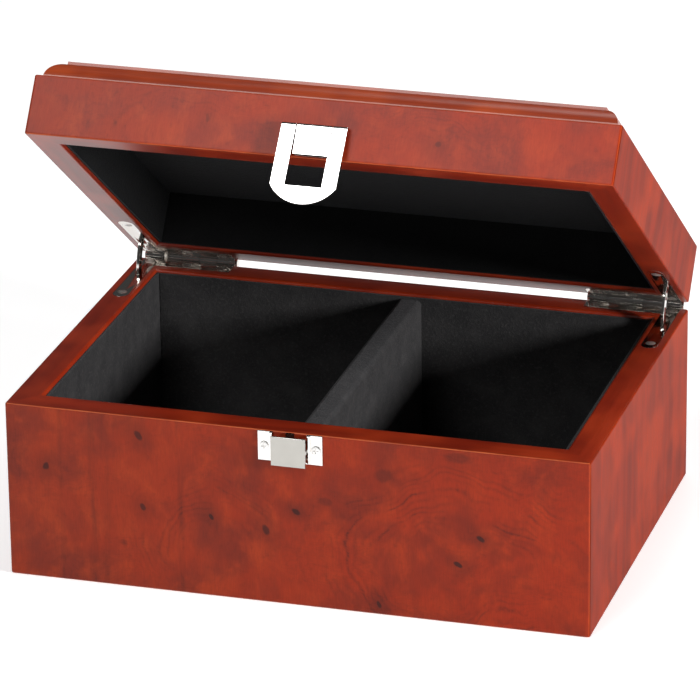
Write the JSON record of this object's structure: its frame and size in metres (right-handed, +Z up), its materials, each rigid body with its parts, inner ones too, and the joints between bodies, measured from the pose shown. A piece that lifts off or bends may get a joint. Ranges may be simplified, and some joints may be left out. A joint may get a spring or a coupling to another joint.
{
  "type": "chess box with hinged lid",
  "caption": "Wooden box with a flock-lined divided base, a hinged lid with a rounded moulding, stop hinges with curved stays, and a hasp that snaps under a sprung press lever.",
  "frame": {"origin": "centre of the underside, on the surface that the box stands on", "axes": "+X to the right along the front, +Y to the back where the hinges are, +Z up"},
  "size_m": [0.272, 0.2117, 0.2242],
  "materials": {
    "burl_veneer": "burl veneer, stained red-brown, satin lacquer",
    "stained_wood": "straight-grained wood, stained red-brown, satin lacquer",
    "flock_lining": "short black flock on card",
    "nickel_plate": "bright nickel plate on pressed steel",
    "spring_steel": "drawn spring wire"
  },
  "bodies": {
    "base": {"base_back_veneer": "burl_veneer", "base_back_wall": "stained_wood", "base_bottom_panel": "stained_wood", "base_front_veneer": "burl_veneer", "base_front_wall": "stained_wood", "base_left_veneer": "burl_veneer", "base_left_wall": "stained_wood", "base_lining_back": "flock_lining", "base_lining_floor_left": "flock_lining", "base_lining_floor_right": "flock_lining", "base_lining_front": "flock_lining", "base_lining_left": "flock_lining", "base_lining_right": "flock_lining", "base_right_veneer": "burl_veneer", "base_right_wall": "stained_wood", "compartment_divider": "flock_lining", "hinge_base_screws": "nickel_plate", "keeper_axle": "nickel_plate", "keeper_plate": "nickel_plate", "keeper_screws": "nickel_plate", "keeper_spring": "spring_steel", "left_hinge_base_leaf": "nickel_plate", "left_hinge_pin": "nickel_plate", "right_hinge_base_leaf": "nickel_plate", "right_hinge_pin": "nickel_plate"},
    "lid": {"hasp_pin": "nickel_plate", "hasp_plate": "nickel_plate", "hasp_screws": "nickel_plate", "hinge_lid_screws": "nickel_plate", "left_hinge_lid_leaf": "nickel_plate", "lid_back_veneer": "burl_veneer", "lid_back_wall": "stained_wood", "lid_front_veneer": "burl_veneer", "lid_front_wall": "stained_wood", "lid_left_veneer": "burl_veneer", "lid_left_wall": "stained_wood", "lid_lining_back": "flock_lining", "lid_lining_front": "flock_lining", "lid_lining_left": "flock_lining", "lid_lining_right": "flock_lining", "lid_lining_top": "flock_lining", "lid_moulding_back": "stained_wood", "lid_moulding_front": "stained_wood", "lid_moulding_left": "stained_wood", "lid_moulding_right": "stained_wood", "lid_right_veneer": "burl_veneer", "lid_right_wall": "stained_wood", "lid_top_panel": "stained_wood", "lid_top_veneer": "burl_veneer", "right_hinge_lid_leaf": "nickel_plate"},
    "hasp": {"hasp_loop": "nickel_plate"},
    "press_lever": {"keeper_lever": "nickel_plate"},
    "left_stay": {"left_hinge_stay": "nickel_plate"},
    "right_stay": {"right_hinge_stay": "nickel_plate"}
  },
  "joints": [
    {"name": "lid_hinge", "type": "hinge", "parent": "base", "child": "lid", "pos_m": [0, 0.099, 0.0842], "axis": [-1, 0, 0], "range_deg": [-36.5, 58.5]},
    {"name": "hasp_swing", "type": "hinge", "parent": "lid", "child": "hasp", "pos_m": [-0.0013, -0.05, 0.21193], "axis": [-1, 0, 0], "range_deg": [-6, 114]},
    {"name": "lever_press", "type": "hinge", "parent": "base", "child": "press_lever", "pos_m": [-0.0013, -0.09615, 0.0761], "axis": [-1, 0, 0], "range_deg": [0, 18], "stiffness_Nm_per_rad": 0.02, "springref_deg": -17.19},
    {"name": "left_stay_slide", "type": "hinge", "parent": "base", "child": "left_stay", "pos_m": [-0.1286, 0.099, 0.0842], "axis": [-1, 0, 0], "range_deg": [-18.25, 29.25]},
    {"name": "right_stay_slide", "type": "hinge", "parent": "base", "child": "right_stay", "pos_m": [0.1286, 0.099, 0.0842], "axis": [-1, 0, 0], "range_deg": [-18.25, 29.25]}
  ],
  "couplings": [
    {"joint": "left_stay_slide", "follows": "lid_hinge", "ratio": 0.5},
    {"joint": "right_stay_slide", "follows": "lid_hinge", "ratio": 0.5}
  ]
}
